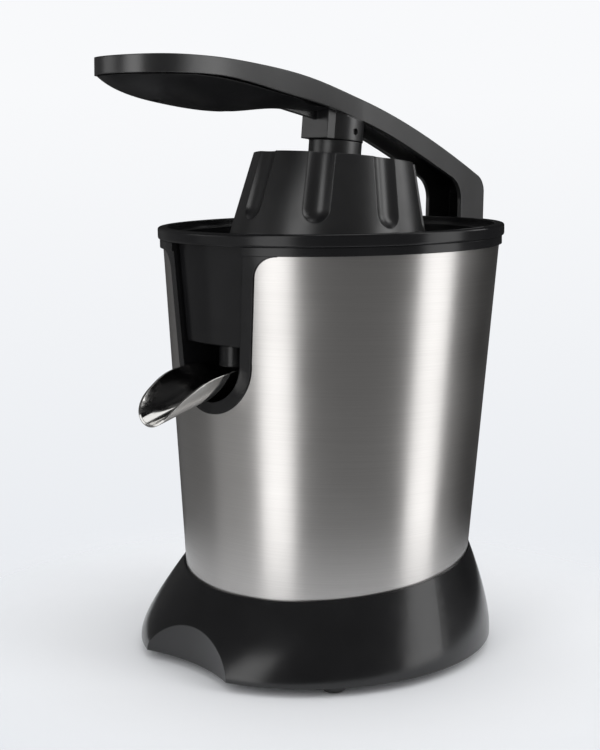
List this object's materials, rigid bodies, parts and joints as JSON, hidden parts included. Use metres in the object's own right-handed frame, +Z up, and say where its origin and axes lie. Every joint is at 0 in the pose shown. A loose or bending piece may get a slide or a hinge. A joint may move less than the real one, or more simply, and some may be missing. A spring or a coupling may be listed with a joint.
{
  "type": "electric citrus press",
  "caption": "Electric citrus press: steel-sleeved body on a flared base, bowl with reamer, tilting juice spout and a hinged lever arm with a fluted pressing dome.",
  "frame": {"origin": "on the drive axis of the reamer, level with the underside of the feet", "axes": "+Z up along the drive axis, -Y to the front where the juice spout is, +Y to the arm hinge"},
  "size_m": [0.18, 0.2524, 0.2978],
  "materials": {
    "gloss_black": "high gloss black moulding",
    "satin_black": "fine satin black moulding",
    "sleeve_steel": "brushed round the body",
    "polished_steel": "polished",
    "fastener_steel": "zinc plated",
    "shaft_steel": "ground",
    "lamination_steel": "varnished laminations",
    "rubber_black": "matt",
    "grey_plastic": "moulded, light texture",
    "gear_plastic": "natural moulded gear plastic",
    "switch_red": "moulded switch case",
    "bronze": "sintered bronze",
    "copper": "enamelled winding wire and commutator bars",
    "cast_aluminium": "die cast"
  },
  "bodies": {
    "body": {"base_shell": "gloss_black", "cord_inlet_bush": "rubber_black", "base_plate": "grey_plastic", "rubber_feet": "rubber_black", "base_screws": "fastener_steel", "steel_sleeve": "sleeve_steel", "inner_housing": "grey_plastic", "housing_screws": "fastener_steel", "trim_frame": "gloss_black", "shaft_seal": "rubber_black", "juice_tray": "gloss_black", "strainer": "polished_steel", "hinge_bracket": "satin_black", "hinge_screws": "fastener_steel", "hinge_pin": "fastener_steel", "gearbox_plate": "cast_aluminium", "gearbox_cover": "grey_plastic", "gearbox_screws": "fastener_steel", "idler_axle": "shaft_steel", "shaft_bushes": "bronze", "guide_pins": "shaft_steel", "return_spring": "shaft_steel", "switch_body": "switch_red", "stator_core": "lamination_steel", "stator_windings": "copper", "motor_bracket": "cast_aluminium", "motor_bearings": "shaft_steel", "motor_screws": "fastener_steel", "brush_holders": "grey_plastic"},
    "arm": {"arm_shell": "satin_black", "arm_cover": "satin_black", "arm_screws": "fastener_steel", "hinge_bushes": "bronze", "press_dome": "satin_black", "press_stem": "satin_black", "stem_nut": "fastener_steel", "cross_pin": "fastener_steel"},
    "pouring_spout": {"spout": "polished_steel"},
    "press_carriage": {"thrust_plate": "shaft_steel"},
    "cone": {"juicing_cone": "satin_black", "output_shaft": "shaft_steel", "output_gear": "gear_plastic", "shaft_collar": "shaft_steel"},
    "motor_rotor": {"rotor_core": "lamination_steel", "rotor_shaft": "shaft_steel", "commutator": "copper", "cooling_fan": "grey_plastic"},
    "idler": {"idler_gear": "gear_plastic"},
    "start_lever": {"switch_lever": "shaft_steel"}
  },
  "joints": [
    {"name": "arm_hinge", "type": "hinge", "parent": "body", "child": "arm", "pos_m": [0, 0.1, 0.196], "axis": [-1, 0, 0], "range_deg": [0, 75]},
    {"name": "spout_tilt", "type": "hinge", "parent": "body", "child": "pouring_spout", "pos_m": [0, -0.074, 0.15], "axis": [-1, 0, 0], "range_deg": [0, 30]},
    {"name": "cone_press", "type": "slide", "parent": "body", "child": "press_carriage", "axis": [0, 0, 1], "range_m": [-0.0025, 0], "stiffness_N_per_m": 4000, "springref_m": 0.002, "deforming": ["return_spring"]},
    {"name": "cone_spin", "type": "hinge", "parent": "press_carriage", "child": "cone", "pos_m": [0, 0, 0.18], "axis": [0, 0, 1], "continuous": true},
    {"name": "motor_spin", "type": "hinge", "parent": "body", "child": "motor_rotor", "pos_m": [0, 0, 0.065], "axis": [0, 0, 1], "continuous": true},
    {"name": "idler_spin", "type": "hinge", "parent": "body", "child": "idler", "pos_m": [0, 0.036, 0.12], "axis": [0, 0, 1], "continuous": true},
    {"name": "switch_tilt", "type": "hinge", "parent": "body", "child": "start_lever", "pos_m": [0, 0.0452, 0.1578], "axis": [1, 0, 0], "range_deg": [0, 9]}
  ],
  "couplings": [
    {"joint": "idler_spin", "follows": "motor_spin", "ratio": -0.33333},
    {"joint": "cone_spin", "follows": "motor_spin", "ratio": 0.11111},
    {"joint": "switch_tilt", "follows": "cone_press", "rad_per_m": -61}
  ]
}
